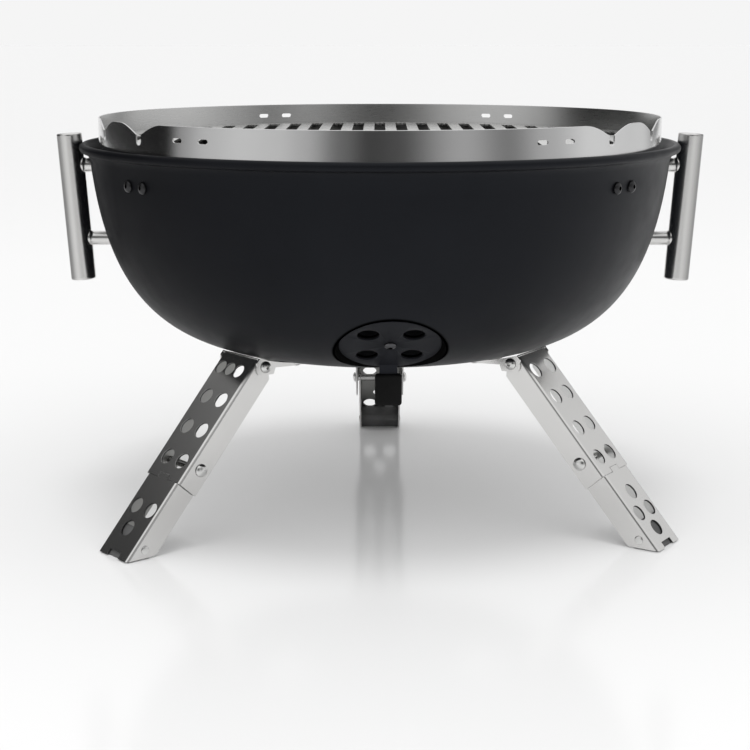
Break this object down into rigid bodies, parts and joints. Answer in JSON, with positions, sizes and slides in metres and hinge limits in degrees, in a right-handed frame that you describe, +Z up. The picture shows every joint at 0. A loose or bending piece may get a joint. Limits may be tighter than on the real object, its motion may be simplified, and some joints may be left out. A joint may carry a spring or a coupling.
{
  "type": "fire pit with grate",
  "caption": "Round bowl fire pit on folding channel legs, with side handles, a swivelling air damper, a notched wind ring and lift-out grill and charcoal grates.",
  "frame": {"origin": "on the floor, under the middle of the overall footprint; the bowl's axis is 11.9 mm towards -Y from it", "axes": "+Z up, -Y the front with the air damper, +X the right handle seen from the front"},
  "size_m": [0.5452, 0.5234, 0.331],
  "materials": {
    "bowl_enamel": "satin black enamel over pressed steel",
    "black_fastener": "black oxide socket button screws",
    "stainless_steel": "folded steel strip",
    "ring_steel": "bright rolled sheet",
    "grate_steel": "bright punched plate",
    "charcoal_iron": "dark punched plate",
    "brushed_tube": "brushed along the bar",
    "leg_steel": "satin pressed channel",
    "plated_fastener": "bright plated",
    "foot_rubber": "matte grey",
    "grip_plastic": "matte black"
  },
  "bodies": {
    "bowl_unit": {"bowl": "bowl_enamel", "damper_pivot_bolt": "black_fastener", "grate_bracket_front_left": "stainless_steel", "bracket_bolt_front_left_1": "black_fastener", "bracket_bolt_front_left_2": "black_fastener", "grate_bracket_front_right": "stainless_steel", "bracket_bolt_front_right_1": "black_fastener", "bracket_bolt_front_right_2": "black_fastener", "grate_bracket_back_right": "stainless_steel", "bracket_bolt_back_right_1": "black_fastener", "bracket_bolt_back_right_2": "black_fastener", "grate_bracket_back_left": "stainless_steel", "bracket_bolt_back_left_1": "black_fastener", "bracket_bolt_back_left_2": "black_fastener", "handle_bar_left": "brushed_tube", "handle_post_left_upper": "brushed_tube", "handle_screw_left_upper": "plated_fastener", "handle_post_left_lower": "brushed_tube", "handle_screw_left_lower": "plated_fastener", "handle_bar_right": "brushed_tube", "handle_post_right_upper": "brushed_tube", "handle_screw_right_upper": "plated_fastener", "handle_post_right_lower": "brushed_tube", "handle_screw_right_lower": "plated_fastener", "leg_bracket_left": "leg_steel", "hip_bolt_left": "plated_fastener", "leg_bracket_bolt_left_1": "plated_fastener", "leg_bracket_bolt_left_2": "plated_fastener", "leg_bracket_right": "leg_steel", "hip_bolt_right": "plated_fastener", "leg_bracket_bolt_right_1": "plated_fastener", "leg_bracket_bolt_right_2": "plated_fastener", "leg_bracket_back": "leg_steel", "hip_bolt_back": "plated_fastener", "leg_bracket_bolt_back_1": "plated_fastener", "leg_bracket_bolt_back_2": "plated_fastener"},
    "upper_leg_unit_left": {"upper_leg_left": "leg_steel", "knee_rivet_left": "plated_fastener"},
    "lower_leg_unit_left": {"lower_leg_left": "leg_steel", "foot_pad_left": "foot_rubber", "foot_pin_left": "plated_fastener"},
    "upper_leg_unit_right": {"upper_leg_right": "leg_steel", "knee_rivet_right": "plated_fastener"},
    "lower_leg_unit_right": {"lower_leg_right": "leg_steel", "foot_pad_right": "foot_rubber", "foot_pin_right": "plated_fastener"},
    "upper_leg_unit_back": {"upper_leg_back": "leg_steel", "knee_rivet_back": "plated_fastener"},
    "lower_leg_unit_back": {"lower_leg_back": "leg_steel", "foot_pad_back": "foot_rubber", "foot_pin_back": "plated_fastener"},
    "air_damper": {"vent_damper": "bowl_enamel", "damper_grip": "grip_plastic"},
    "ring_unit": {"wind_ring": "ring_steel"},
    "grill_unit": {"grill_grate": "grate_steel"},
    "coal_unit": {"charcoal_grate": "charcoal_iron"}
  },
  "joints": [
    {"name": "hip_left", "type": "hinge", "parent": "bowl_unit", "child": "upper_leg_unit_left", "pos_m": [-0.10753, -0.10439, 0.13703], "axis": [0.6521, -0.7581, 0], "range_deg": [0, 70]},
    {"name": "knee_left", "type": "hinge", "parent": "upper_leg_unit_left", "child": "lower_leg_unit_left", "pos_m": [-0.15518, -0.14538, 0.06246], "axis": [0.6521, -0.7581, 0], "range_deg": [0, 180]},
    {"name": "hip_right", "type": "hinge", "parent": "bowl_unit", "child": "upper_leg_unit_right", "pos_m": [0.11909, -0.08894, 0.13703], "axis": [0.5432, 0.8396, 0], "range_deg": [0, 70]},
    {"name": "knee_right", "type": "hinge", "parent": "upper_leg_unit_right", "child": "lower_leg_unit_right", "pos_m": [0.17186, -0.12308, 0.06246], "axis": [0.5432, 0.8396, 0], "range_deg": [0, 180]},
    {"name": "hip_back", "type": "hinge", "parent": "bowl_unit", "child": "upper_leg_unit_back", "pos_m": [0, 0.12994, 0.13703], "axis": [-1, 0, 0], "range_deg": [0, 70]},
    {"name": "knee_back", "type": "hinge", "parent": "upper_leg_unit_back", "child": "lower_leg_unit_back", "pos_m": [0, 0.19279, 0.06246], "axis": [-1, 0, 0], "range_deg": [0, 180]},
    {"name": "damper_swivel", "type": "hinge", "parent": "bowl_unit", "child": "air_damper", "pos_m": [0.00792, -0.18642, 0.1686], "axis": [0.027, -0.5942, -0.8039], "range_deg": [-45, 45]},
    {"name": "wind_ring_lift", "type": "slide", "parent": "bowl_unit", "child": "ring_unit", "axis": [0, 0, 1], "range_m": [0, 0.12]},
    {"name": "grill_grate_lift", "type": "slide", "parent": "bowl_unit", "child": "grill_unit", "axis": [0, 0, 1], "range_m": [0, 0.12]},
    {"name": "charcoal_grate_lift", "type": "slide", "parent": "bowl_unit", "child": "coal_unit", "axis": [0, 0, 1], "range_m": [0, 0.05]}
  ]
}
